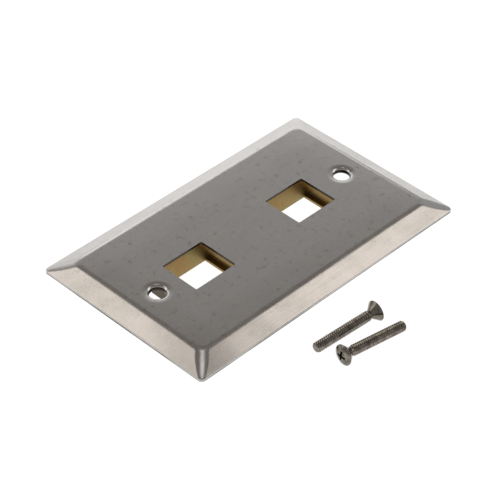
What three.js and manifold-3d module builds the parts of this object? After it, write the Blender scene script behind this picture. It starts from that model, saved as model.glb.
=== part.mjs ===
// Single-gang steel wall plate for two keystone jacks, with its two fixing screws lying beside it.
// Millimetres. X runs along the long side, Y along the short side, +Z out of the wall.
// The origin is the middle of the plate's front face, so everything else lies below z = 0.
import * as THREE from "three";
import { ConvexGeometry } from "three/addons/geometries/ConvexGeometry.js";
import { mergeVertices } from "three/addons/utils/BufferGeometryUtils.js";
import Module from "manifold-3d";

// Face plate: drawn from one sheet. Its sides slope down to a turned edge that stands on the wall.
const PLATE_LENGTH = 114.3;
const PLATE_WIDTH = 69.85;
const SHEET = 0.8;
const FACE_HEIGHT = 4.2; // front face above the wall
const EDGE_HEIGHT = 0.9; // upright part of the turned edge
const SLOPE_RUN = 6.6; // turned edge to the crease line, seen from the front
const BEND_RADIUS = 4.6; // outside of the crease
const EDGE_CORNER_RADIUS = 1.6;
const FACE_CORNER_RADIUS = 2.6;
const CORNER_STEPS = 6;
const BEND_STEPS = 4;

// Screw holes: flared into the sheet so that the screw heads sit flush.
const HOLE_SPACING = 83.34;
const HOLE_RADIUS = 2.65;
const FLARE_RADIUS = 1.3;
const FLARE_DEPTH = 1.7; // front face to the lower end of the neck
const FLARE_STEPS = 6;
const FLARE_SEGMENTS = 40;

// Port openings and the housings fixed behind them.
const PORT_SPACING = 45.8;
const OPENING_LENGTH = 17;
const OPENING_WIDTH = 15.1;
const OPENING_OFFSET = -1; // opening's middle from its housing's middle
const HOUSING_LENGTH = 26.6;
const HOUSING_WIDTH = 17.8;
const HOUSING_GAP = 0.1; // behind the sheet, so that the two pieces stay apart
const TABLE_DEPTH = 9.1; // front face to the housings' rear faces, on which the plate rests
const INNER_WIDTH = 15.3;
const FRONT_WEB = 1.2; // thickness of the web round the opening, behind the sheet
const REAR_LIP = 1; // thickness of the two catches at the rear
const HOOK_LIP_SETBACK = 0.9; // rear catch from the opening's edge, on the hook side (-X)
const LATCH_LIP_SETBACK = 1.8; // the same on the latch side (+X)
const LIP_REACH = 1.8; // how far each catch stands in from the pocket's wall on the latch side
const HOOK_LIP_REACH = 1.2;
const FLANGE_LENGTH = 19;
const FLANGE_REACH = 2.6; // beyond the housing's side, along Y
const FLANGE_THICKNESS = 1;
const FLANGE_CORNER = 1.2;
const CUT_MARGIN = 1; // how far a cutting shape runs past the surface that it cuts

// Fixing screws: number 6, 32 threads to the inch, 1 inch long, oval head with a cross recess.
const SCREW_LENGTH = 24.6; // tip to the widest part of the head
const SHANK_RADIUS = 1.75;
const TIP_RADIUS = 1.3;
const TIP_CHAMFER = 0.5;
const HEAD_RADIUS = 3.45;
const HEAD_CONE = 2;
const HEAD_EDGE = 0.15;
const HEAD_CROWN = 1.1;
const CROWN_STEPS = 5;
const SCREW_SEGMENTS = 36;
const RECESS_REACH = 1.9;
const RECESS_FOOT_REACH = 0.55;
const RECESS_HALF_WIDTH = 0.42;
const RECESS_FOOT_HALF_WIDTH = 0.28;
const RECESS_DEPTH = 1.9;
const TABLE_CLEARANCE = 0.01;
const SCREW_TURN = THREE.MathUtils.degToRad(-6.5); // from the plate's long side, seen from above
const SCREWS = [
  { name: "fixing_screw_1", head: [4.6, -48.6], faces: 1 },
  { name: "fixing_screw_2", head: [-17.4, -54.9], faces: -1 },
];

const wasm = await Module();
wasm.setup();

const stainless = new THREE.MeshStandardMaterial({ color: 0x94918b, roughness: 0.38, metalness: 1 });
const platedZinc = new THREE.MeshStandardMaterial({ color: 0x8c7646, roughness: 0.5, metalness: 1 });
const screwSteel = new THREE.MeshStandardMaterial({ color: 0x7b7363, roughness: 0.35, metalness: 1 });

function toSolid(geometry) {
  const bare = geometry.index ? geometry.toNonIndexed() : geometry.clone();
  bare.deleteAttribute("normal");
  bare.deleteAttribute("uv");
  const merged = mergeVertices(bare, 1e-3);
  const triVerts = new Uint32Array(merged.index.array);
  const vertProperties = new Float32Array(merged.attributes.position.array);
  return new wasm.Manifold(new wasm.Mesh({ numProp: 3, vertProperties, triVerts }));
}

function toGeometry(solid) {
  const mesh = solid.getMesh();
  const geometry = new THREE.BufferGeometry();
  geometry.setAttribute("position", new THREE.BufferAttribute(new Float32Array(mesh.vertProperties), 3));
  geometry.setIndex(new THREE.BufferAttribute(new Uint32Array(mesh.triVerts), 1));
  geometry.computeVertexNormals();
  return geometry;
}

function boxBetween(low, high) {
  const size = high.map((value, i) => value - low[i]);
  const middle = high.map((value, i) => (value + low[i]) / 2);
  return new THREE.BoxGeometry(...size).translate(...middle);
}

function namedMesh(name, geometry, material) {
  const mesh = new THREE.Mesh(geometry, material.clone());
  mesh.name = name;
  return mesh;
}

// One level of the drawn plate: a rectangle with round corners, set in from the edge's outline.
function plateRing(inset, z, cornerRadius) {
  const points = [];
  for (const [signX, signY, start] of [[1, 1, 0], [-1, 1, 1], [-1, -1, 2], [1, -1, 3]]) {
    const centreX = signX * (PLATE_LENGTH / 2 - inset - cornerRadius);
    const centreY = signY * (PLATE_WIDTH / 2 - inset - cornerRadius);
    for (let step = 0; step <= CORNER_STEPS; step++) {
      const angle = (start + step / CORNER_STEPS) * Math.PI / 2;
      const x = centreX + cornerRadius * Math.cos(angle);
      const y = centreY + cornerRadius * Math.sin(angle);
      points.push(new THREE.Vector3(x, y, z));
    }
  }
  return points;
}

// The space under one surface of the sheet: depth 0 gives the outside, depth SHEET the inside.
function underSurface(depth, extraDrop) {
  const slope = Math.atan2(FACE_HEIGHT - EDGE_HEIGHT, SLOPE_RUN);
  const bendInset = SLOPE_RUN + BEND_RADIUS * Math.tan(slope / 2);
  const shoulder = EDGE_HEIGHT - FACE_HEIGHT - depth * Math.tan(Math.PI / 4 - slope / 2);
  const cornerAt = (inset) => {
    const radius = THREE.MathUtils.lerp(EDGE_CORNER_RADIUS, FACE_CORNER_RADIUS, inset / bendInset);
    return radius - depth;
  };
  const points = plateRing(depth, -FACE_HEIGHT - extraDrop, cornerAt(depth));
  points.push(...plateRing(depth, shoulder, cornerAt(depth)));
  for (let step = 0; step <= BEND_STEPS; step++) {
    const angle = slope * (1 - step / BEND_STEPS);
    const radius = BEND_RADIUS - depth;
    const inset = bendInset - radius * Math.sin(angle);
    points.push(...plateRing(inset, radius * Math.cos(angle) - BEND_RADIUS, cornerAt(inset)));
  }
  return toSolid(new ConvexGeometry(points));
}

// The flare's profile at one depth into the metal: a quarter round that runs into a straight neck.
function flareProfile(depth) {
  const profile = [];
  for (let step = 0; step <= FLARE_STEPS; step++) {
    const angle = (step / FLARE_STEPS) * Math.PI / 2;
    const reach = FLARE_RADIUS - depth;
    const x = HOLE_RADIUS + FLARE_RADIUS - reach * Math.sin(angle);
    profile.push(new THREE.Vector2(x, reach * Math.cos(angle) - FLARE_RADIUS));
  }
  profile.push(new THREE.Vector2(HOLE_RADIUS + depth, -FLARE_DEPTH));
  return profile;
}

function latheAt(profile, x) {
  const geometry = new THREE.LatheGeometry(profile, FLARE_SEGMENTS);
  geometry.rotateX(Math.PI / 2);
  return toSolid(geometry.translate(x, 0, 0));
}

function facePlate() {
  let plate = underSurface(0, 0).subtract(underSurface(SHEET, CUT_MARGIN));
  for (const x of [-HOLE_SPACING / 2, HOLE_SPACING / 2]) {
    const outside = flareProfile(SHEET);
    const collar = [new THREE.Vector2(0, -FLARE_DEPTH), ...outside.reverse(), new THREE.Vector2(0, -SHEET)];
    const inside = flareProfile(0);
    const lowerEnd = new THREE.Vector2(HOLE_RADIUS, -FLARE_DEPTH - CUT_MARGIN);
    const upperEdge = new THREE.Vector2(HOLE_RADIUS + FLARE_RADIUS, CUT_MARGIN);
    const bore = [new THREE.Vector2(0, lowerEnd.y), lowerEnd, ...inside.reverse()];
    bore.push(upperEdge, new THREE.Vector2(0, CUT_MARGIN));
    plate = plate.add(latheAt(collar, x)).subtract(latheAt(bore, x));
  }
  for (const side of [-1, 1]) {
    const middle = side * PORT_SPACING / 2 + OPENING_OFFSET;
    const low = [middle - OPENING_LENGTH / 2, -OPENING_WIDTH / 2, -SHEET - CUT_MARGIN];
    const high = [middle + OPENING_LENGTH / 2, OPENING_WIDTH / 2, CUT_MARGIN];
    plate = plate.subtract(toSolid(boxBetween(low, high)));
  }
  return toGeometry(plate);
}

// A flange foot behind the sheet, with its outer corners cut off.
function flangeOutline() {
  const x = FLANGE_LENGTH / 2;
  const y = HOUSING_WIDTH / 2 + FLANGE_REACH;
  const outline = new THREE.Shape();
  outline.moveTo(-x, -y + FLANGE_CORNER);
  outline.lineTo(-x + FLANGE_CORNER, -y);
  outline.lineTo(x - FLANGE_CORNER, -y);
  outline.lineTo(x, -y + FLANGE_CORNER);
  outline.lineTo(x, y - FLANGE_CORNER);
  outline.lineTo(x - FLANGE_CORNER, y);
  outline.lineTo(-x + FLANGE_CORNER, y);
  outline.lineTo(-x, y - FLANGE_CORNER);
  return outline;
}

// Drawn about the housing's own middle; the jack's hook goes on the -X side, its latch on +X.
function portHousing() {
  const top = -SHEET - HOUSING_GAP;
  const halfLength = HOUSING_LENGTH / 2;
  const halfWidth = HOUSING_WIDTH / 2;
  const openLow = OPENING_OFFSET - OPENING_LENGTH / 2;
  const openHigh = OPENING_OFFSET + OPENING_LENGTH / 2;
  const lipLow = openLow - HOOK_LIP_SETBACK;
  const lipHigh = openHigh + LATCH_LIP_SETBACK;
  const innerHalf = INNER_WIDTH / 2;
  const flange = new THREE.ExtrudeGeometry(flangeOutline(), { depth: FLANGE_THICKNESS, bevelEnabled: false });
  flange.translate(0, 0, top - FLANGE_THICKNESS);
  const body = boxBetween([-halfLength, -halfWidth, -TABLE_DEPTH], [halfLength, halfWidth, top]);
  const mouth = boxBetween([openLow, -innerHalf, top - FRONT_WEB - CUT_MARGIN], [openHigh, innerHalf, CUT_MARGIN]);
  const pocketLow = [lipLow - HOOK_LIP_REACH, -innerHalf, -TABLE_DEPTH + REAR_LIP];
  const pocket = boxBetween(pocketLow, [lipHigh + LIP_REACH, innerHalf, top - FRONT_WEB]);
  const rearLow = [lipLow, -innerHalf, -TABLE_DEPTH - CUT_MARGIN];
  const rear = boxBetween(rearLow, [lipHigh, innerHalf, -TABLE_DEPTH + REAR_LIP + CUT_MARGIN]);
  let housing = toSolid(body).add(toSolid(flange));
  for (const hollow of [mouth, pocket, rear]) {
    housing = housing.subtract(toSolid(hollow));
  }
  return toGeometry(housing);
}

// A tapered bar that narrows downwards; two of them crossed make the driver recess.
function recessBar(top) {
  const points = [];
  const foot = top - RECESS_DEPTH;
  for (const [sideX, sideY] of [[1, 1], [-1, 1], [-1, -1], [1, -1]]) {
    points.push(new THREE.Vector3(sideX * RECESS_REACH, sideY * RECESS_HALF_WIDTH, top));
    points.push(new THREE.Vector3(sideX * RECESS_FOOT_REACH, sideY * RECESS_FOOT_HALF_WIDTH, foot));
  }
  return new ConvexGeometry(points);
}

// Stands on its axis with the head's widest circle at z = 0 and the tip pointing down.
function fixingScrew() {
  const profile = [new THREE.Vector2(0, -SCREW_LENGTH), new THREE.Vector2(TIP_RADIUS, -SCREW_LENGTH)];
  profile.push(new THREE.Vector2(SHANK_RADIUS, -SCREW_LENGTH + TIP_CHAMFER));
  profile.push(new THREE.Vector2(SHANK_RADIUS, -HEAD_CONE - HEAD_EDGE));
  profile.push(new THREE.Vector2(HEAD_RADIUS, -HEAD_EDGE));
  const crownRadius = (HEAD_RADIUS ** 2 + HEAD_CROWN ** 2) / (2 * HEAD_CROWN);
  const crownAngle = Math.asin(HEAD_RADIUS / crownRadius);
  for (let step = 0; step < CROWN_STEPS; step++) {
    const angle = crownAngle * (1 - step / CROWN_STEPS);
    const height = crownRadius * Math.cos(angle) - crownRadius + HEAD_CROWN;
    profile.push(new THREE.Vector2(crownRadius * Math.sin(angle), height));
  }
  profile.push(new THREE.Vector2(0, HEAD_CROWN));
  const body = new THREE.LatheGeometry(profile, SCREW_SEGMENTS).rotateX(Math.PI / 2);
  const bar = recessBar(HEAD_CROWN + TABLE_CLEARANCE);
  let screw = toSolid(body).subtract(toSolid(bar));
  screw = screw.subtract(toSolid(bar.clone().rotateZ(Math.PI / 2)));
  return toGeometry(screw);
}

// A lying screw touches the table with the rim of its head and the end of its thread.
function lyingScrew(entry) {
  const contactRise = HEAD_RADIUS - SHANK_RADIUS;
  const contactRun = SCREW_LENGTH - TIP_CHAMFER - HEAD_EDGE;
  const tilt = Math.atan2(contactRise, contactRun);
  const rise = HEAD_RADIUS * Math.cos(tilt) + HEAD_EDGE * Math.sin(tilt) + TABLE_CLEARANCE;
  const mesh = namedMesh(entry.name, fixingScrew(), screwSteel);
  mesh.rotation.y = entry.faces * (Math.PI / 2 - tilt);
  const holder = new THREE.Group();
  holder.rotation.z = SCREW_TURN;
  holder.position.set(entry.head[0], entry.head[1], rise - TABLE_DEPTH);
  holder.add(mesh);
  return holder;
}

const group = new THREE.Group();
group.add(namedMesh("face_plate", facePlate(), stainless));
const housingGeometry = portHousing();
[-1, 1].forEach((side, index) => {
  const housing = namedMesh(`port_housing_${index + 1}`, housingGeometry, platedZinc);
  housing.position.x = side * PORT_SPACING / 2;
  group.add(housing);
});
for (const entry of SCREWS) {
  group.add(lyingScrew(entry));
}

export default group;
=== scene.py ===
from math import asin, atan2, ceil, cos, pi, radians, sin, tan

import bmesh
import bpy
from mathutils import Matrix, Vector


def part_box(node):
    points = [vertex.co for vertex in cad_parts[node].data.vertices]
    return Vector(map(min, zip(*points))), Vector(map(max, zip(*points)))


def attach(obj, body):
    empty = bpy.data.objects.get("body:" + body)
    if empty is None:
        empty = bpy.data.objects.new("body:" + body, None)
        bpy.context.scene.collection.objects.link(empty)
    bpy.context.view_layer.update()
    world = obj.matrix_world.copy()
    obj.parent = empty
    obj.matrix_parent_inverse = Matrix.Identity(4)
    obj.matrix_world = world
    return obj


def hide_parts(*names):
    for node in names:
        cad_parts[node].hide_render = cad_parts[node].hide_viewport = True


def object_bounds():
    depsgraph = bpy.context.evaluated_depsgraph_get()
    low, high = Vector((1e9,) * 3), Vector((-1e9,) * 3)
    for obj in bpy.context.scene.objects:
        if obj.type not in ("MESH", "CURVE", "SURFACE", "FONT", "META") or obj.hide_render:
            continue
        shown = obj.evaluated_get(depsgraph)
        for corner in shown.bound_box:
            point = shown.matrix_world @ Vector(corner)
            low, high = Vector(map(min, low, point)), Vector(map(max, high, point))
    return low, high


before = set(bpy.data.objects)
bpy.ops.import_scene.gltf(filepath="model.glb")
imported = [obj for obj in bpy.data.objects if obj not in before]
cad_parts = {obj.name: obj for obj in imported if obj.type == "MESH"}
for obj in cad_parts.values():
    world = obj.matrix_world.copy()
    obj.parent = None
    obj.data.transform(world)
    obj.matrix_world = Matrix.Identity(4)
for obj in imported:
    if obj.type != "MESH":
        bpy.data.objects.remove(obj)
cad_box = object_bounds()

# ---------------------------------------------------------------------------------------------
# Face plate. One 0.8 mm sheet of 302 stainless, pressed over a die so that its sides slope back
# in soft bends to a turned edge, which stands on the wall. The two port openings are punched, and
# each screw hole is flared inwards into a short neck that takes a screw's head.
# ---------------------------------------------------------------------------------------------
MM = 0.001
SHEET = 0.8 * MM
SLOPE_RUN = 6.6 * MM
EDGE_HEIGHT = 0.9 * MM
EDGE_BEND_RADIUS = 0.35 * MM
EDGE_BEND_STEPS = 4
BEND_RADIUS = 4.6 * MM
BEND_STEPS = 12
EDGE_CORNER = 1.6 * MM
FACE_CORNER = 2.6 * MM
CORNER_SWELL = 1.0 * MM  # extra radius of a corner halfway up its slope
SLOPE_STEPS = 8
CORNER_STEPS = 14
BROKEN_EDGE = 0.12 * MM
SHADED_RIM_HEIGHT = 0.45 * MM  # height of the rim's foot that is painted dark, a painted contact shadow
SHADED_RIM_FADE = 0.1 * MM
CROWN_REACH = {"X": 50.0 * MM, "Y": 27.0 * MM}  # middle of the plate to the middle of each fall
CROWN_RUN = 10.0 * MM
CROWN_DROP = 0.3 * MM
DISH_SHARE = 0.5  # depth of the dish round a screw hole, as a share of the crown's drop
DISH_INSIDE = 0.8 * MM
DISH_OUTSIDE = 1.2 * MM
SCUFF_FADE = (1.2 * MM, 0.3 * MM)  # depths below the face between which scuffs grow faint
HOLE_SPACING = 83.34 * MM
HOLE_RADIUS = 2.65 * MM
FLARE_RADIUS = 1.3 * MM
FLARE_DEPTH = 1.7 * MM
FLARE_STEPS = 14
FLARE_SEGMENTS = 72
PORT_SPACING = 45.8 * MM
OPENING = Vector((17.0, 15.1)) * MM
OPENING_OFFSET = -1.0 * MM
OPENING_CORNER = 0.45 * MM
HAIR = 0.001 * MM  # points closer than this are one point

plate_low, plate_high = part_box("face_plate")
plate_size = plate_high - plate_low
slope = atan2(plate_size.z - EDGE_HEIGHT, SLOPE_RUN)


def arc(centre, radius, start, end, steps):
    """Points round part of a circle in the XZ plane, angles in degrees from +X."""
    turns = [radians(start + (end - start) * i / steps) for i in range(steps + 1)]
    return [(centre[0] + radius * cos(a), centre[1] + radius * sin(a)) for a in turns]


def turned(bm, outline, steps):
    """Spins an outline of (radius, height) points about Z. An end on the axis is closed."""
    verts = [bm.verts.new((x, 0.0, z)) for x, z in outline]
    edges = [bm.edges.new(pair) for pair in zip(verts, verts[1:])]
    bmesh.ops.spin(bm, geom=verts + edges, cent=(0, 0, 0), axis=(0, 0, 1), angle=2 * pi,
                   steps=steps, use_merge=True)
    bmesh.ops.remove_doubles(bm, verts=bm.verts, dist=HAIR)


def as_piece(bm, name):
    """Makes a finished bmesh an object, its faces pointing out."""
    bmesh.ops.recalc_face_normals(bm, faces=bm.faces)
    mesh = bpy.data.meshes.new(name)
    bm.to_mesh(mesh)
    bm.free()
    piece = bpy.data.objects.new(name, mesh)
    bpy.context.scene.collection.objects.link(piece)
    return piece


def break_edges(bm, width, sharper_than, steps=2):
    """Rounds every edge that is sharper than an angle, as tumbling after the press does."""
    sharp = [e for e in bm.edges if e.is_manifold and e.calc_face_angle() > radians(sharper_than)]
    bmesh.ops.bevel(bm, geom=sharp, offset=width, offset_type="OFFSET", affect="EDGES",
                    segments=steps, profile=0.5, material=-1, clamp_overlap=True)


def finish_surface(piece, material, sharper_than=40):
    """Gives a piece its material and shades its bends smooth and its flats flat."""
    piece.data.materials.clear()
    piece.data.materials.append(material)
    piece.data.shade_smooth()
    piece.data.set_sharp_from_angle(angle=radians(sharper_than))
    weighted = piece.modifiers.new("flat faces stay flat", "WEIGHTED_NORMAL")
    weighted.keep_sharp = True
    weighted.weight = 100


def rectangle(bm, size, middle, corner):
    """The edges of a rectangle with round corners, at one height."""
    verts = bmesh.ops.create_grid(bm, x_segments=1, y_segments=1, size=0.5)["verts"]
    bmesh.ops.scale(bm, vec=(*size, 1), verts=verts)
    bmesh.ops.translate(bm, vec=middle, verts=verts)
    rounded = bmesh.ops.bevel(bm, geom=verts, offset=corner, offset_type="OFFSET",
                              affect="VERTICES", segments=CORNER_STEPS, profile=0.5, material=-1)
    face = max(rounded["verts"][0].link_faces, key=lambda f: len(f.verts))
    edges = list(face.edges)
    bmesh.ops.delete(bm, geom=[face], context="FACES_ONLY")
    return edges


def plate_section():
    """The outside of the sheet from the wall to the face, as (inset, height) points."""
    upright = pi / 2 - slope
    turn = EDGE_BEND_RADIUS * tan(upright / 2)
    foot = plate_low.z + EDGE_HEIGHT - turn
    bend_inset = SLOPE_RUN + BEND_RADIUS * tan(slope / 2)
    section = [(0.0, plate_low.z)]
    section += arc((EDGE_BEND_RADIUS, foot), EDGE_BEND_RADIUS, 180, 90 + slope * 180 / pi,
                   EDGE_BEND_STEPS)
    bend = arc((bend_inset, plate_high.z - BEND_RADIUS), BEND_RADIUS,
               90 + slope * 180 / pi, 90, BEND_STEPS)
    slope_foot = Vector(section[-1])
    section += [tuple(slope_foot.lerp(Vector(bend[0]), i / SLOPE_STEPS)) for i in range(1, SLOPE_STEPS)]
    return section + bend


def add_flare(bm, x):
    """Adds a screw hole's outside surface: a quarter round that runs into a straight neck."""
    flare = bmesh.new()
    lip = (HOLE_RADIUS + FLARE_RADIUS, plate_high.z - FLARE_RADIUS)
    neck_end = (HOLE_RADIUS, plate_high.z - FLARE_DEPTH)
    turned(flare, arc(lip, FLARE_RADIUS, 90, 180, FLARE_STEPS) + [neck_end], FLARE_SEGMENTS)
    bmesh.ops.translate(flare, vec=(x, 0, 0), verts=flare.verts)
    spun = bpy.data.meshes.new("flare")
    flare.to_mesh(spun)
    flare.free()
    bm.from_mesh(spun)
    bpy.data.meshes.remove(spun)


def pressed_plate():
    """The outside surface of the whole plate, given its thickness and then its broken edges."""
    bm = bmesh.new()
    section = plate_section()
    inmost = section[-1][0]
    rings = []
    for inset, height in section:
        share = inset / inmost
        corner = EDGE_CORNER + (FACE_CORNER - EDGE_CORNER) * share
        corner += CORNER_SWELL * 4 * share * (1 - share)
        size = (plate_size.x - 2 * inset, plate_size.y - 2 * inset)
        rings.append(rectangle(bm, size, (0, 0, height), corner))
    for lower, upper in zip(rings, rings[1:]):
        bmesh.ops.bridge_loops(bm, edges=lower + upper)
    for side in (-1, 1):
        add_flare(bm, side * HOLE_SPACING / 2)
        port_middle = (side * PORT_SPACING / 2 + OPENING_OFFSET, 0, plate_high.z)
        rectangle(bm, OPENING, port_middle, OPENING_CORNER)
    face_level = plate_high.z - HAIR
    open_edges = [e for e in bm.edges
                  if len(e.link_faces) < 2 and min(v.co.z for v in e.verts) > face_level]
    bmesh.ops.triangle_fill(bm, use_beauty=True, edges=open_edges, normal=(0, 0, 1))
    bmesh.ops.recalc_face_normals(bm, faces=bm.faces)
    if max(bm.faces, key=lambda f: f.calc_area()).normal.z < 0:
        bmesh.ops.reverse_faces(bm, faces=bm.faces)
    bmesh.ops.solidify(bm, geom=bm.faces, thickness=SHEET)
    break_edges(bm, BROKEN_EDGE, 50)
    return as_piece(bm, "stainless_plate")


face_plate = pressed_plate()


def shade_of(hex_code):
    """An sRGB hex colour as the linear red, green, blue and alpha that a socket takes."""
    parts = [int(hex_code[i:i + 2], 16) / 255 for i in (1, 3, 5)]
    linear = [p / 12.92 if p <= 0.04045 else ((p + 0.055) / 1.055) ** 2.4 for p in parts]
    return (*linear, 1.0)


def add_node(tree, kind, options, inputs):
    """Adds one node, sets its options, and gives each input its value or its link."""
    node = tree.nodes.new(kind)
    for name, value in options.items():
        setattr(node, name, value)
    for name, value in inputs.items():
        if isinstance(value, bpy.types.NodeSocket):
            tree.links.new(value, node.inputs[name])
        else:
            node.inputs[name].default_value = value
    return node


def new_material(name):
    """An empty node material: its tree, its shader and the object's own coordinates."""
    material = bpy.data.materials.new(name)
    material.use_nodes = True
    tree = material.node_tree
    tree.nodes.clear()
    shader = tree.nodes.new("ShaderNodeBsdfPrincipled")
    output = tree.nodes.new("ShaderNodeOutputMaterial")
    tree.links.new(shader.outputs["BSDF"], output.inputs["Surface"])
    place = tree.nodes.new("ShaderNodeTexCoord").outputs["Object"]
    return material, tree, shader, place


def per_metre(*lengths_mm):
    """Noise scale, per metre, that gives features of these lengths in millimetres."""
    return tuple(1000 / length for length in lengths_mm)


def scuffed_tint(tree, place, axes, cloud):
    """Warm grey that drifts with the cloud, with small dull scuffs, strongest on the face."""
    scuff = add_node(tree, "ShaderNodeTexNoise", {}, {
        "Vector": place, "Scale": per_metre(2.2)[0], "Detail": 4.0, "Roughness": 0.62})
    scuffed = add_node(tree, "ShaderNodeMapRange", {}, {
        "Value": scuff.outputs[0], "From Min": 0.57, "From Max": 0.7, "To Min": 0.0, "To Max": 0.5})
    on_face = add_node(tree, "ShaderNodeMapRange", {}, {
        "Value": axes.outputs["Z"], "From Min": plate_high.z - SCUFF_FADE[0],
        "From Max": plate_high.z - SCUFF_FADE[1], "To Min": 0.2, "To Max": 1.0})
    dull = add_node(tree, "ShaderNodeMath", {"operation": "MULTIPLY"}, {
        0: scuffed.outputs[0], 1: on_face.outputs[0]})
    tint = add_node(tree, "ShaderNodeMix", {"data_type": "RGBA"}, {
        0: cloud.outputs[0], 6: shade_of("#c9c3c3"), 7: shade_of("#bebdb6")})
    return add_node(tree, "ShaderNodeMix", {"data_type": "RGBA"}, {
        0: dull.outputs[0], 6: tint.outputs[2], 7: shade_of("#8d8880")})


def painted_edge_shade(tree, place, axes):
    """Painted shade on the cut metal: a painted contact shadow on the rim's foot, and painted shade on
    the walls of the punched openings and on the holes' necks.
    """
    patches = add_node(tree, "ShaderNodeTexNoise", {}, {
        "Vector": place, "Scale": per_metre(24)[0], "Detail": 2.0, "Roughness": 0.6})
    # The rim's painted contact shadow is patchy: its strength drifts between 0.4 and 1.
    patchy_shade = add_node(tree, "ShaderNodeMapRange", {}, {
        "Value": patches.outputs[0], "From Min": 0.4, "From Max": 0.6, "To Min": 0.4, "To Max": 1.0})
    shaded_rim = add_node(tree, "ShaderNodeMapRange", {}, {
        "Value": axes.outputs["Z"], "From Min": plate_low.z + SHADED_RIM_HEIGHT,
        "From Max": plate_low.z + SHADED_RIM_HEIGHT + SHADED_RIM_FADE, "To Min": patchy_shade.outputs[0], "To Max": 0.0})
    # Painted shade on the upright cut walls near the face: the openings' walls and the holes' necks.
    facing = tree.nodes.new("ShaderNodeNewGeometry").outputs["True Normal"]
    upright = add_node(tree, "ShaderNodeMath", {"operation": "ABSOLUTE"}, {
        0: add_node(tree, "ShaderNodeSeparateXYZ", {}, {0: facing}).outputs["Z"]})
    wall = add_node(tree, "ShaderNodeMath", {"operation": "LESS_THAN"}, {
        0: upright.outputs[0], 1: 0.5})
    high_up = add_node(tree, "ShaderNodeMath", {"operation": "GREATER_THAN"}, {
        0: axes.outputs["Z"], 1: plate_high.z - FLARE_DEPTH - SHEET})
    shaded_cut_walls = add_node(tree, "ShaderNodeMath", {"operation": "MULTIPLY"}, {
        0: wall.outputs[0], 1: high_up.outputs[0]})
    return add_node(tree, "ShaderNodeMath", {"operation": "MAXIMUM"}, {
        0: shaded_rim.outputs[0], 1: shaded_cut_walls.outputs[0]})


def pressed_relief(tree, axes):
    """The face's form: crowned very slightly towards its sides, and dished round each hole."""
    crown = 0.0
    for axis, reach in CROWN_REACH.items():
        off_middle = add_node(tree, "ShaderNodeMath", {"operation": "ABSOLUTE"}, {0: axes.outputs[axis]})
        drop = add_node(tree, "ShaderNodeMapRange", {"interpolation_type": "SMOOTHSTEP"}, {
            "Value": off_middle.outputs[0], "From Min": reach - CROWN_RUN, "From Max": reach + CROWN_RUN,
            "To Min": 1.0, "To Max": 0.0})
        crown = add_node(tree, "ShaderNodeMath", {"operation": "ADD"}, {
            0: drop.outputs[0], 1: crown}).outputs[0]
    off_plate = add_node(tree, "ShaderNodeMath", {"operation": "ABSOLUTE"}, {0: axes.outputs["X"]})
    off_hole = add_node(tree, "ShaderNodeMath", {"operation": "SUBTRACT"}, {
        0: off_plate.outputs[0], 1: HOLE_SPACING / 2})
    from_hole = add_node(tree, "ShaderNodeCombineXYZ", {}, {
        "X": off_hole.outputs[0], "Y": axes.outputs["Y"]})
    distance = add_node(tree, "ShaderNodeVectorMath", {"operation": "LENGTH"}, {0: from_hole.outputs[0]})
    lip = HOLE_RADIUS + FLARE_RADIUS
    dish = add_node(tree, "ShaderNodeMapRange", {"interpolation_type": "SMOOTHSTEP"}, {
        "Value": distance.outputs["Value"], "From Min": lip - DISH_INSIDE,
        "From Max": lip + DISH_OUTSIDE, "To Min": -DISH_SHARE, "To Max": 0.0})
    formed = add_node(tree, "ShaderNodeMath", {"operation": "ADD"}, {0: crown, 1: dish.outputs[0]})
    return add_node(tree, "ShaderNodeBump", {}, {
        "Height": formed.outputs[0], "Strength": 1.0, "Distance": CROWN_DROP})


def brushed_stainless():
    """302 stainless with a fine belt-brushed grain along the plate. The eye gets a warm satin
    grey, streaks along the length, cloudy patches from handling and a few dull scuff marks. Its cut
    edges carry painted shade."""
    material, tree, shader, place = new_material("brushed_stainless")
    axes = add_node(tree, "ShaderNodeSeparateXYZ", {}, {0: place})
    # The real grain is under 0.1 mm wide; 0.3 mm is as fine as shows.
    grain_place = add_node(tree, "ShaderNodeMapping", {}, {
        "Vector": place, "Scale": per_metre(14, 0.3, 0.3)})
    grain = add_node(tree, "ShaderNodeTexNoise", {}, {
        "Vector": grain_place.outputs[0], "Scale": 1.0, "Detail": 3.0, "Roughness": 0.6})
    cloud = add_node(tree, "ShaderNodeTexNoise", {}, {
        "Vector": place, "Scale": per_metre(11)[0], "Detail": 4.0, "Roughness": 0.55})
    # Painted shade: where the cut-edge mask is set, the tint gives way to a dark brown-grey.
    tint_and_edge_shade = add_node(tree, "ShaderNodeMix", {"data_type": "RGBA"}, {
        0: painted_edge_shade(tree, place, axes).outputs[0],
        6: scuffed_tint(tree, place, axes, cloud).outputs[2],
        7: shade_of("#3a342e")})
    satin = add_node(tree, "ShaderNodeMapRange", {}, {
        "Value": cloud.outputs[0], "From Min": 0.3, "From Max": 0.7, "To Min": 0.2, "To Max": 0.28})
    streaked = add_node(tree, "ShaderNodeMapRange", {}, {
        "Value": grain.outputs[0], "From Min": 0.3, "From Max": 0.7, "To Min": -0.03, "To Max": 0.03})
    roughness = add_node(tree, "ShaderNodeMath", {"operation": "ADD"}, {
        0: satin.outputs[0], 1: streaked.outputs[0]})
    wave = add_node(tree, "ShaderNodeBump", {}, {
        "Height": cloud.outputs[0], "Strength": 1.0, "Distance": 0.03 * MM,
        "Normal": pressed_relief(tree, axes).outputs[0]})
    brushed = add_node(tree, "ShaderNodeBump", {}, {
        "Height": grain.outputs[0], "Strength": 0.35, "Distance": 0.01 * MM,
        "Normal": wave.outputs[0]})
    tree.links.new(tint_and_edge_shade.outputs[2], shader.inputs["Base Color"])
    tree.links.new(roughness.outputs[0], shader.inputs["Roughness"])
    tree.links.new(brushed.outputs[0], shader.inputs["Normal"])
    shader.inputs["Metallic"].default_value = 1.0
    return material


finish_surface(face_plate, brushed_stainless())
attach(face_plate, "plate")
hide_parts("face_plate")

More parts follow.
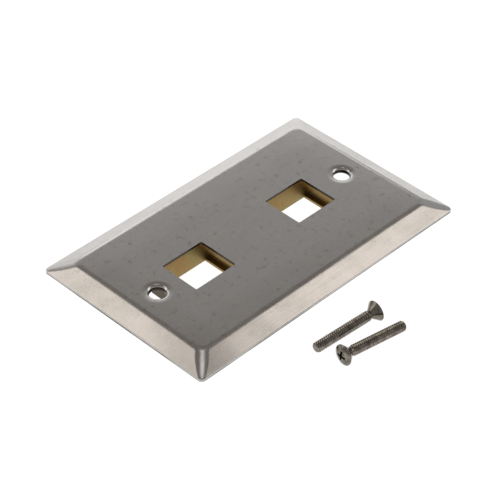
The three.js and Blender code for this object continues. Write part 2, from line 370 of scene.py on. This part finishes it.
# ---------------------------------------------------------------------------------------------
# Port housings. Behind each opening a steel frame, plated with yellow zinc, is spot-welded to the
# sheet by two flange feet. A jack is pushed in from behind, and its hook and its latch catch the
# housing's two rear lips, with a pocket behind the front web for each.
# ---------------------------------------------------------------------------------------------
HOUSING_LENGTH = 26.6 * MM
HOUSING_WIDTH = 17.8 * MM
INNER_WIDTH = 15.3 * MM
FRONT_WEB = 1.2 * MM
REAR_LIP = 1.0 * MM
HOOK_LIP_SETBACK = 0.9 * MM
LATCH_LIP_SETBACK = 1.8 * MM
HOOK_LIP_REACH = 1.2 * MM
LATCH_LIP_REACH = 1.8 * MM
FLANGE_LENGTH = 19.0 * MM
FLANGE_THICKNESS = 1.0 * MM
FLANGE_CORNER = 1.2 * MM
WELD_RADIUS = 1.1 * MM
WELD_DEPTH = 0.18 * MM
WELD_SPACING = 11.0 * MM
WELD_STEPS = 8
WELD_SEGMENTS = 40
PAST = 2.0 * MM  # how far a cutting shape runs past the surface that it cuts
HOUSING_CORNER = 0.8 * MM
HOUSING_EDGE = 0.2 * MM
SHADE_SKIN = (0.5 * MM, 0.1 * MM)  # depths inside the outline between which the painted shade on the outsides grows


def work(piece, tool, operation):
    """Joins a tool's shape to a piece, or cuts it out, and puts the tool away."""
    cut = piece.modifiers.new("cut", "BOOLEAN")
    cut.operation = operation
    cut.solver = "EXACT"
    cut.object = tool
    depsgraph = bpy.context.evaluated_depsgraph_get()
    worked = bpy.data.meshes.new_from_object(piece.evaluated_get(depsgraph))
    piece.modifiers.clear()
    piece.data = worked
    bpy.data.objects.remove(tool)


def soften(piece, width, sharper_than, steps):
    """Breaks a worked piece's edges, after its doubles are merged and its flats made whole."""
    bm = bmesh.new()
    bm.from_mesh(piece.data)
    bmesh.ops.remove_doubles(bm, verts=bm.verts, dist=HAIR)
    bmesh.ops.dissolve_limit(bm, angle_limit=radians(0.05), verts=bm.verts, edges=bm.edges)
    break_edges(bm, width, sharper_than, steps)
    bmesh.ops.dissolve_degenerate(bm, dist=HAIR / 2, edges=bm.edges)
    bmesh.ops.recalc_face_normals(bm, faces=bm.faces)
    bm.to_mesh(piece.data)
    bm.free()


def housing_block(low, high, name):
    """The solid block, its two flange feet drawn out of its sides, its upright corners round."""
    middle = (low.x + high.x) / 2
    half_width = HOUSING_WIDTH / 2
    foot_level = high.z - FLANGE_THICKNESS
    bm = bmesh.new()
    bmesh.ops.create_cube(bm, size=1)
    bmesh.ops.scale(bm, vec=(high.x - low.x, HOUSING_WIDTH, high.z - low.z), verts=bm.verts)
    bmesh.ops.translate(bm, vec=(middle, 0, (low.z + high.z) / 2), verts=bm.verts)
    planes = [((0, 0, foot_level), (0, 0, 1))]
    planes += [((middle + sign * FLANGE_LENGTH / 2, 0, 0), (1, 0, 0)) for sign in (-1, 1)]
    for place, normal in planes:
        everything = list(bm.verts) + list(bm.edges) + list(bm.faces)
        bmesh.ops.bisect_plane(bm, geom=everything, plane_co=place, plane_no=normal)
    for sign in (-1, 1):
        root = [f for f in bm.faces if f.normal.y * sign > 0.9
                and f.calc_center_median().z > foot_level
                and abs(f.calc_center_median().x - middle) < FLANGE_LENGTH / 2]
        foot = bmesh.ops.extrude_discrete_faces(bm, faces=root)["faces"][0]
        bmesh.ops.translate(bm, vec=(0, sign * (high.y - half_width), 0), verts=foot.verts)
    upright = [e for e in bm.edges if abs(e.verts[0].co.z - e.verts[1].co.z) > 0.1 * MM]
    tiny = 0.01 * MM
    corners = [e for e in upright if abs(abs(e.verts[0].co.x - middle) - (high.x - middle)) < tiny]
    toes = [e for e in upright if abs(abs(e.verts[0].co.y) - high.y) < tiny]
    for edges, radius in ((corners, HOUSING_CORNER), (toes, FLANGE_CORNER)):
        bmesh.ops.bevel(bm, geom=edges, offset=radius, offset_type="OFFSET", affect="EDGES",
                        segments=5, profile=0.5, material=-1)
    return as_piece(bm, name)


def jack_hollow(low, high):
    """The room for a jack: the mouth behind the opening, the two pockets, and the rear way in."""
    middle = (low.x + high.x) / 2
    web = high.z - FRONT_WEB
    lip = low.z + REAR_LIP
    open_low = middle + OPENING_OFFSET - OPENING.x / 2
    open_high = open_low + OPENING.x
    lip_low = open_low - HOOK_LIP_SETBACK
    lip_high = open_high + LATCH_LIP_SETBACK
    hook_side = [(open_low, high.z + PAST), (open_low, web), (lip_low - HOOK_LIP_REACH, web),
                 (lip_low - HOOK_LIP_REACH, lip), (lip_low, lip), (lip_low, low.z - PAST)]
    latch_side = [(lip_high, low.z - PAST), (lip_high, lip), (lip_high + LATCH_LIP_REACH, lip),
                  (lip_high + LATCH_LIP_REACH, web), (open_high, web), (open_high, high.z + PAST)]
    bm = bmesh.new()
    side = bm.faces.new([bm.verts.new((x, -INNER_WIDTH / 2, z)) for x, z in hook_side + latch_side])
    drawn = bmesh.ops.extrude_face_region(bm, geom=[side])["geom"]
    drawn_verts = [v for v in drawn if isinstance(v, bmesh.types.BMVert)]
    bmesh.ops.translate(bm, vec=(0, INNER_WIDTH, 0), verts=drawn_verts)
    return as_piece(bm, "hollow")


def weld_mark(x, y, z):
    """The shallow round dent that a welding tip leaves in the back of a flange."""
    ball = (WELD_RADIUS ** 2 + WELD_DEPTH ** 2) / (2 * WELD_DEPTH)
    spread = asin(WELD_RADIUS / ball) * 180 / pi
    outline = [(0, -WELD_DEPTH), (WELD_RADIUS, -WELD_DEPTH)]
    outline += arc((0, WELD_DEPTH - ball), ball, 90 - spread, 90, WELD_STEPS)[:-1]
    outline += [(0, WELD_DEPTH)]
    bm = bmesh.new()
    turned(bm, outline, WELD_SEGMENTS)
    bmesh.ops.translate(bm, vec=(x, y, z), verts=bm.verts)
    return as_piece(bm, "weld_tip")


def port_housing(node, name):
    """A finished housing: the block, hollowed for its jack, with four weld marks on its feet."""
    low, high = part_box(node)
    piece = housing_block(low, high, name)
    work(piece, jack_hollow(low, high), "DIFFERENCE")
    middle = (low.x + high.x) / 2
    foot_middle = (high.y + HOUSING_WIDTH / 2) / 2
    for sign_x in (-1, 1):
        for sign_y in (-1, 1):
            mark = weld_mark(middle + sign_x * WELD_SPACING / 2, sign_y * foot_middle,
                             high.z - FLANGE_THICKNESS)
            work(piece, mark, "DIFFERENCE")
    soften(piece, HOUSING_EDGE, 50, 3)
    return piece


def yellow_zinc():
    """Steel plated with yellow-chromated zinc: an olive gold, cloudy, with faint green and rose
    where the film's thickness changes, and a dull satin crystal. Painted shade turns the housings'
    outsides dark grey."""
    material, tree, shader, place = new_material("yellow_chromated_zinc")
    film = add_node(tree, "ShaderNodeTexNoise", {}, {
        "Vector": place, "Scale": per_metre(5)[0], "Detail": 3.0, "Roughness": 0.5})
    crystal = add_node(tree, "ShaderNodeTexNoise", {}, {
        "Vector": place, "Scale": per_metre(0.5)[0], "Detail": 2.0, "Roughness": 0.5})
    patch = add_node(tree, "ShaderNodeMapRange", {}, {
        "Value": film.outputs[0], "From Min": 0.35, "From Max": 0.65, "To Min": 0.0, "To Max": 1.0})
    gold = add_node(tree, "ShaderNodeMix", {"data_type": "RGBA"}, {
        0: patch.outputs[0], 6: shade_of("#9a8858"), 7: shade_of("#9b7d4c")})
    # Painted shade: the outsides of the two housings, which lie in shade behind the plate, are painted
    # dark grey.
    axes = add_node(tree, "ShaderNodeSeparateXYZ", {}, {0: place})
    off_plate = add_node(tree, "ShaderNodeMath", {"operation": "ABSOLUTE"}, {0: axes.outputs["X"]})
    off_port = add_node(tree, "ShaderNodeMath", {"operation": "SUBTRACT"}, {
        0: off_plate.outputs[0], 1: PORT_SPACING / 2})
    off_end = add_node(tree, "ShaderNodeMath", {"operation": "ABSOLUTE"}, {0: off_port.outputs[0]})
    off_side = add_node(tree, "ShaderNodeMath", {"operation": "ABSOLUTE"}, {0: axes.outputs["Y"]})
    outside_shade = []
    for off, reach in ((off_end, HOUSING_LENGTH / 2), (off_side, HOUSING_WIDTH / 2)):
        outside_shade.append(add_node(tree, "ShaderNodeMapRange", {}, {
            "Value": off.outputs[0], "From Min": reach - SHADE_SKIN[0], "From Max": reach - SHADE_SKIN[1],
            "To Min": 0.0, "To Max": 0.85}))
    shaded_outside = add_node(tree, "ShaderNodeMath", {"operation": "MAXIMUM"}, {
        0: outside_shade[0].outputs[0], 1: outside_shade[1].outputs[0]})
    gold = add_node(tree, "ShaderNodeMix", {"data_type": "RGBA"}, {
        0: shaded_outside.outputs[0], 6: gold.outputs[2], 7: shade_of("#4e4a45")})
    roughness = add_node(tree, "ShaderNodeMapRange", {}, {
        "Value": crystal.outputs[0], "From Min": 0.3, "From Max": 0.7, "To Min": 0.42, "To Max": 0.56})
    grain = add_node(tree, "ShaderNodeBump", {}, {
        "Height": crystal.outputs[0], "Strength": 0.5, "Distance": 0.03 * MM})
    tree.links.new(gold.outputs[2], shader.inputs["Base Color"])
    tree.links.new(roughness.outputs[0], shader.inputs["Roughness"])
    tree.links.new(grain.outputs[0], shader.inputs["Normal"])
    shader.inputs["Metallic"].default_value = 1.0
    return material


zinc = yellow_zinc()
for number in (1, 2):
    housing = port_housing(f"port_housing_{number}", f"zinc_port_housing_{number}")
    finish_surface(housing, zinc)
    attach(housing, "plate")
    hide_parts(f"port_housing_{number}")

# ---------------------------------------------------------------------------------------------
# Fixing screws. Two number 6 machine screws, 32 threads to the inch, 1 inch long, cold-headed with
# a raised countersunk head and a cross recess, then thread-rolled. They lie loose by the plate.
# ---------------------------------------------------------------------------------------------
SCREW_LENGTH = 24.6 * MM
THREAD_PITCH = 25.4 / 32 * MM
CREST_RADIUS = 1.75 * MM
ROOT_RADIUS = 1.33 * MM
NECK_RADIUS = 1.5 * MM
NECK_FILLET = 0.5 * MM
NECK_SPREAD = 0.08 * MM
THREAD_TOP = -3.6 * MM
TIP_RADIUS = 1.3 * MM
TIP_CHAMFER = 0.5 * MM
HEAD_RADIUS = 3.45 * MM
HEAD_CONE = 2.0 * MM
HEAD_EDGE = 0.15 * MM
HEAD_CHAMFER = 0.06 * MM
HEAD_CROWN = 1.1 * MM
RECESS_REACH = 1.9 * MM
RECESS_FOOT_REACH = 0.55 * MM
RECESS_HALF_WIDTH = 0.42 * MM
RECESS_FOOT_HALF_WIDTH = 0.28 * MM
RECESS_DEPTH = 1.9 * MM
RECESS_CLEARANCE = 0.01 * MM
SCREW_EDGE = 0.04 * MM
SHARP_TURN = 42  # degrees: crests, rim and recess turn by more than this, facets by less
SMOOTH_UNDER = 35
TURN = radians(-6.5)  # from the plate's long side, seen from above
STEPS_PER_TURN = 32
CROWN_STEPS = 16
HEAD_SEGMENTS = 72
GAUGE_SEGMENTS = 48


def rolled_thread():
    """The threaded shank: one pitch of the thread's profile, wound down the screw."""
    bm = bmesh.new()
    top = THREAD_TOP + THREAD_PITCH
    profile = [(ROOT_RADIUS, 0.0), (ROOT_RADIUS, 0.12), (CREST_RADIUS, 0.5), (CREST_RADIUS, 0.62),
               (ROOT_RADIUS, 1.0)]
    verts = [bm.verts.new((r, 0, top - share * THREAD_PITCH)) for r, share in profile]
    edges = [bm.edges.new(pair) for pair in zip(verts, verts[1:])]
    turns = ceil((SCREW_LENGTH + top) / THREAD_PITCH) + 1
    bmesh.ops.spin(bm, geom=verts + edges, cent=(0, 0, 0), axis=(0, 0, 1), angle=turns * 2 * pi,
                   dvec=(0, 0, -THREAD_PITCH / STEPS_PER_TURN), steps=turns * STEPS_PER_TURN)
    bmesh.ops.remove_doubles(bm, verts=bm.verts, dist=0.002 * MM)
    for height, up in ((THREAD_TOP, 1), (-SCREW_LENGTH, -1)):
        everything = list(bm.verts) + list(bm.edges) + list(bm.faces)
        cut = bmesh.ops.bisect_plane(bm, geom=everything, plane_co=(0, 0, height),
                                     plane_no=(0, 0, up), clear_outer=True)
        ends = [e for e in cut["geom_cut"] if isinstance(e, bmesh.types.BMEdge)]
        bmesh.ops.edgeloop_fill(bm, edges=ends)
    return as_piece(bm, "thread")


def chamfer_gauge():
    """The room that the thread's end may fill: its full size, tapering at the tip."""
    taper = (CREST_RADIUS - TIP_RADIUS) / TIP_CHAMFER
    foot = -SCREW_LENGTH - TIP_CHAMFER
    wide = CREST_RADIUS + TIP_CHAMFER * taper
    outline = [(0, foot), (TIP_RADIUS - TIP_CHAMFER * taper, foot)]
    outline += [(wide, -SCREW_LENGTH + 2 * TIP_CHAMFER), (wide, 0), (0, 0)]
    bm = bmesh.new()
    turned(bm, outline, GAUGE_SEGMENTS)
    return as_piece(bm, "gauge")


def cold_head():
    """Neck, countersunk cone, thin edge and raised crown, turned about the screw's axis."""
    half_cone = atan2(HEAD_RADIUS - CREST_RADIUS, HEAD_CONE)
    cone_foot = -HEAD_EDGE - (HEAD_RADIUS - NECK_RADIUS) / tan(half_cone)
    crown_radius = (HEAD_RADIUS ** 2 + HEAD_CROWN ** 2) / (2 * HEAD_CROWN)
    crown_angle = asin(HEAD_RADIUS / crown_radius) * 180 / pi
    outline = [(0, THREAD_TOP - THREAD_PITCH / 2), (NECK_RADIUS, THREAD_TOP - THREAD_PITCH / 2)]
    outline += [(NECK_RADIUS, cone_foot - NECK_FILLET / 2), (NECK_RADIUS + NECK_SPREAD, cone_foot)]
    outline += [(HEAD_RADIUS - HEAD_CHAMFER, -HEAD_EDGE - HEAD_CHAMFER), (HEAD_RADIUS, -HEAD_EDGE)]
    outline += [(HEAD_RADIUS, 0)]
    outline += arc((0, HEAD_CROWN - crown_radius), crown_radius, 90 - crown_angle, 90, CROWN_STEPS)[1:-1]
    outline += [(0, HEAD_CROWN)]
    bm = bmesh.new()
    turned(bm, outline, HEAD_SEGMENTS)
    return as_piece(bm, "head")


def recess_punch(turn):
    """One blade of the cross-shaped heading punch, narrowing towards its foot."""
    bm = bmesh.new()
    bmesh.ops.create_cube(bm, size=2)
    top = [v for v in bm.verts if v.co.z > 0]
    foot = [v for v in bm.verts if v.co.z < 0]
    bmesh.ops.scale(bm, vec=(RECESS_REACH, RECESS_HALF_WIDTH, 1), verts=top)
    bmesh.ops.scale(bm, vec=(RECESS_FOOT_REACH, RECESS_FOOT_HALF_WIDTH, 1), verts=foot)
    for vert in top:
        vert.co.z = HEAD_CROWN + RECESS_CLEARANCE
    for vert in foot:
        vert.co.z = HEAD_CROWN + RECESS_CLEARANCE - RECESS_DEPTH
    bmesh.ops.rotate(bm, verts=bm.verts, cent=(0, 0, 0), matrix=Matrix.Rotation(turn, 3, "Z"))
    return as_piece(bm, "recess_punch")


def fixing_screw(node, name, faces):
    """A finished screw, laid on the rim of its head and the end of its thread."""
    piece = rolled_thread()
    work(piece, chamfer_gauge(), "INTERSECT")
    work(piece, cold_head(), "UNION")
    for turn in (0, pi / 2):
        work(piece, recess_punch(turn), "DIFFERENCE")
    soften(piece, SCREW_EDGE, SHARP_TURN, 1)
    tilt = atan2(HEAD_RADIUS - CREST_RADIUS, SCREW_LENGTH - TIP_CHAMFER - HEAD_EDGE)
    lay = Matrix.Rotation(TURN, 4, "Z") @ Matrix.Rotation(faces * (pi / 2 - tilt), 4, "Y")
    piece.data.transform(lay)
    places = [v.co for v in piece.data.vertices]
    own_middle = Vector([(min(p[i] for p in places) + max(p[i] for p in places)) / 2 for i in range(3)])
    low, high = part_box(node)
    piece.data.transform(Matrix.Translation((low + high) / 2 - own_middle))
    piece.name = name
    return piece


def screw_steel():
    """Plated screw steel, handled and slightly tarnished: a brown-grey satin with paler crests."""
    material, tree, shader, place = new_material("tarnished_screw_steel")
    tarnish = add_node(tree, "ShaderNodeTexNoise", {}, {
        "Vector": place, "Scale": per_metre(1.6)[0], "Detail": 4.0, "Roughness": 0.6})
    patch = add_node(tree, "ShaderNodeMapRange", {}, {
        "Value": tarnish.outputs[0], "From Min": 0.35, "From Max": 0.65, "To Min": 0.0, "To Max": 1.0})
    metal = add_node(tree, "ShaderNodeMix", {"data_type": "RGBA"}, {
        0: patch.outputs[0], 6: shade_of("#8c857b"), 7: shade_of("#5f5a52")})
    roughness = add_node(tree, "ShaderNodeMapRange", {}, {
        "Value": tarnish.outputs[0], "From Min": 0.3, "From Max": 0.7, "To Min": 0.14, "To Max": 0.28})
    skin = add_node(tree, "ShaderNodeBump", {}, {
        "Height": tarnish.outputs[0], "Strength": 0.3, "Distance": 0.02 * MM})
    tree.links.new(metal.outputs[2], shader.inputs["Base Color"])
    tree.links.new(roughness.outputs[0], shader.inputs["Roughness"])
    tree.links.new(skin.outputs[0], shader.inputs["Normal"])
    shader.inputs["Metallic"].default_value = 1.0
    return material


steel = screw_steel()
for number, faces in ((1, 1), (2, -1)):
    screw = fixing_screw(f"fixing_screw_{number}", f"steel_fixing_screw_{number}", faces)
    finish_surface(screw, steel, SMOOTH_UNDER)
    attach(screw, f"screw_{number}")
    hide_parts(f"fixing_screw_{number}")

# ---------------------------------------------------------------------------------------------
# Table: opal white acrylic under the housings' rear faces, lit from below as a product table is,
# so that shadows on it stay faint.
# ---------------------------------------------------------------------------------------------
TABLE_SIZE = 6.0
TABLE_GLOW = 1.0


def table_top():
    """A flat sheet at the level of the lowest piece, wide enough to fill every view."""
    bm = bmesh.new()
    bmesh.ops.create_grid(bm, x_segments=1, y_segments=1, size=TABLE_SIZE / 2)
    bmesh.ops.translate(bm, vec=(0, 0, cad_box[0][2]), verts=bm.verts)
    return as_piece(bm, "table")


def opal_acrylic():
    """Matt opal acrylic, evenly lit through: plain white to the eye, with no grain. Its own
    colour is dark, so that its white is nearly all glow and the lamps leave no pools on it."""
    material, _, shader, _ = new_material("opal_acrylic")
    shader.inputs["Base Color"].default_value = shade_of("#4a4a4a")
    shader.inputs["Roughness"].default_value = 0.9
    shader.inputs["Emission Color"].default_value = shade_of("#ffffff")
    shader.inputs["Emission Strength"].default_value = TABLE_GLOW
    return material


table = table_top()
table.data.materials.append(opal_acrylic())

# ---------------------------------------------------------------------------------------------
# Light. The metal mirrors a grey studio, bright at the horizon and dim overhead, and five soft
# boxes: a warm one for each near slope, a small one overhead for the near corner, and two low
# plain ones beyond the plate for its far slopes and the lips of its screw holes.
# ---------------------------------------------------------------------------------------------
WARM_BOX = "#fff8f0"
PLAIN_BOX = "#ffffff"
HORIZON_GLOW = 0.45
CEILING_GLOW = 0.2


def soft_box(name, place, size, radiance, colour):
    """An area light that faces the plate's middle and that a mirror shows at this radiance."""
    light = bpy.data.lights.new(name, "AREA")
    light.shape = "RECTANGLE"
    light.size, light.size_y = size
    light.energy = radiance * pi * size[0] * size[1]
    light.color = shade_of(colour)[:3]
    lamp = bpy.data.objects.new(name, light)
    bpy.context.scene.collection.objects.link(lamp)
    lamp.location = place
    lamp.rotation_euler = Vector(place).to_track_quat("Z", "Y").to_euler()
    lamp.visible_camera = False


soft_box("left_box", (-0.36, 0.48, 0.33), (0.28, 0.72), 1.26, WARM_BOX)
soft_box("right_box", (0.48, -0.31, 0.3), (0.27, 0.7), 1.3, WARM_BOX)
soft_box("top_box", (0.015, 0.02, 0.545), (0.12, 0.12), 1.2, PLAIN_BOX)
soft_box("far_box", (0.6, 0.63, 0.21), (0.5, 0.44), 0.8, PLAIN_BOX)
soft_box("low_box", (0.09, 0.85, 0.28), (0.76, 0.4), 0.6, PLAIN_BOX)


def dim_studio():
    """A grey room: its brightness falls from the horizon to the ceiling, and grows warmer."""
    world = bpy.data.worlds.new("studio")
    world.use_nodes = True
    tree = world.node_tree
    direction = tree.nodes.new("ShaderNodeTexCoord").outputs["Generated"]
    height = add_node(tree, "ShaderNodeSeparateXYZ", {}, {0: direction}).outputs["Z"]
    rise = add_node(tree, "ShaderNodeMapRange", {"interpolation_type": "SMOOTHSTEP"}, {
        "Value": height, "From Min": 0.58, "From Max": 0.78, "To Min": 0.0, "To Max": 1.0})
    glow = add_node(tree, "ShaderNodeMapRange", {}, {
        "Value": rise.outputs[0], "To Min": HORIZON_GLOW, "To Max": CEILING_GLOW})
    colour = add_node(tree, "ShaderNodeMix", {"data_type": "RGBA"}, {
        0: rise.outputs[0], 6: shade_of("#fdfeff"), 7: shade_of("#fff6ef")})
    tree.links.new(colour.outputs[2], tree.nodes["Background"].inputs["Color"])
    tree.links.new(glow.outputs[0], tree.nodes["Background"].inputs["Strength"])
    return world


bpy.context.scene.world = dim_studio()
bpy.context.scene.view_settings.view_transform = "Standard"

# ---------------------------------------------------------------------------------------------
# Camera: a long lens on a stand at the plate's near corner, looking down across its face, close
# enough for the sides to draw together a little with distance, and very slightly rolled.
# ---------------------------------------------------------------------------------------------
AIM = Vector((-7.4, -6.0, 0.0)) * MM
AZIMUTH = radians(43.39)
LOOK_DOWN = radians(40.28)
ROLL = radians(1.44)
DISTANCE = 635.4 * MM
SENSOR_WIDTH = 36  # millimetres, as a camera takes it
FOCAL_LENGTH = 146.35

lens = bpy.data.cameras.new("camera")
lens.sensor_width = SENSOR_WIDTH
lens.lens = FOCAL_LENGTH
camera = bpy.data.objects.new("camera", lens)
bpy.context.scene.collection.objects.link(camera)
gaze = Vector((cos(LOOK_DOWN) * cos(AZIMUTH), cos(LOOK_DOWN) * sin(AZIMUTH), -sin(LOOK_DOWN)))
camera.location = AIM - gaze * DISTANCE
level_view = gaze.to_track_quat("-Z", "Y").to_matrix().to_4x4()
camera.rotation_euler = (level_view @ Matrix.Rotation(ROLL, 4, "Z")).to_euler()
bpy.context.scene.camera = camera
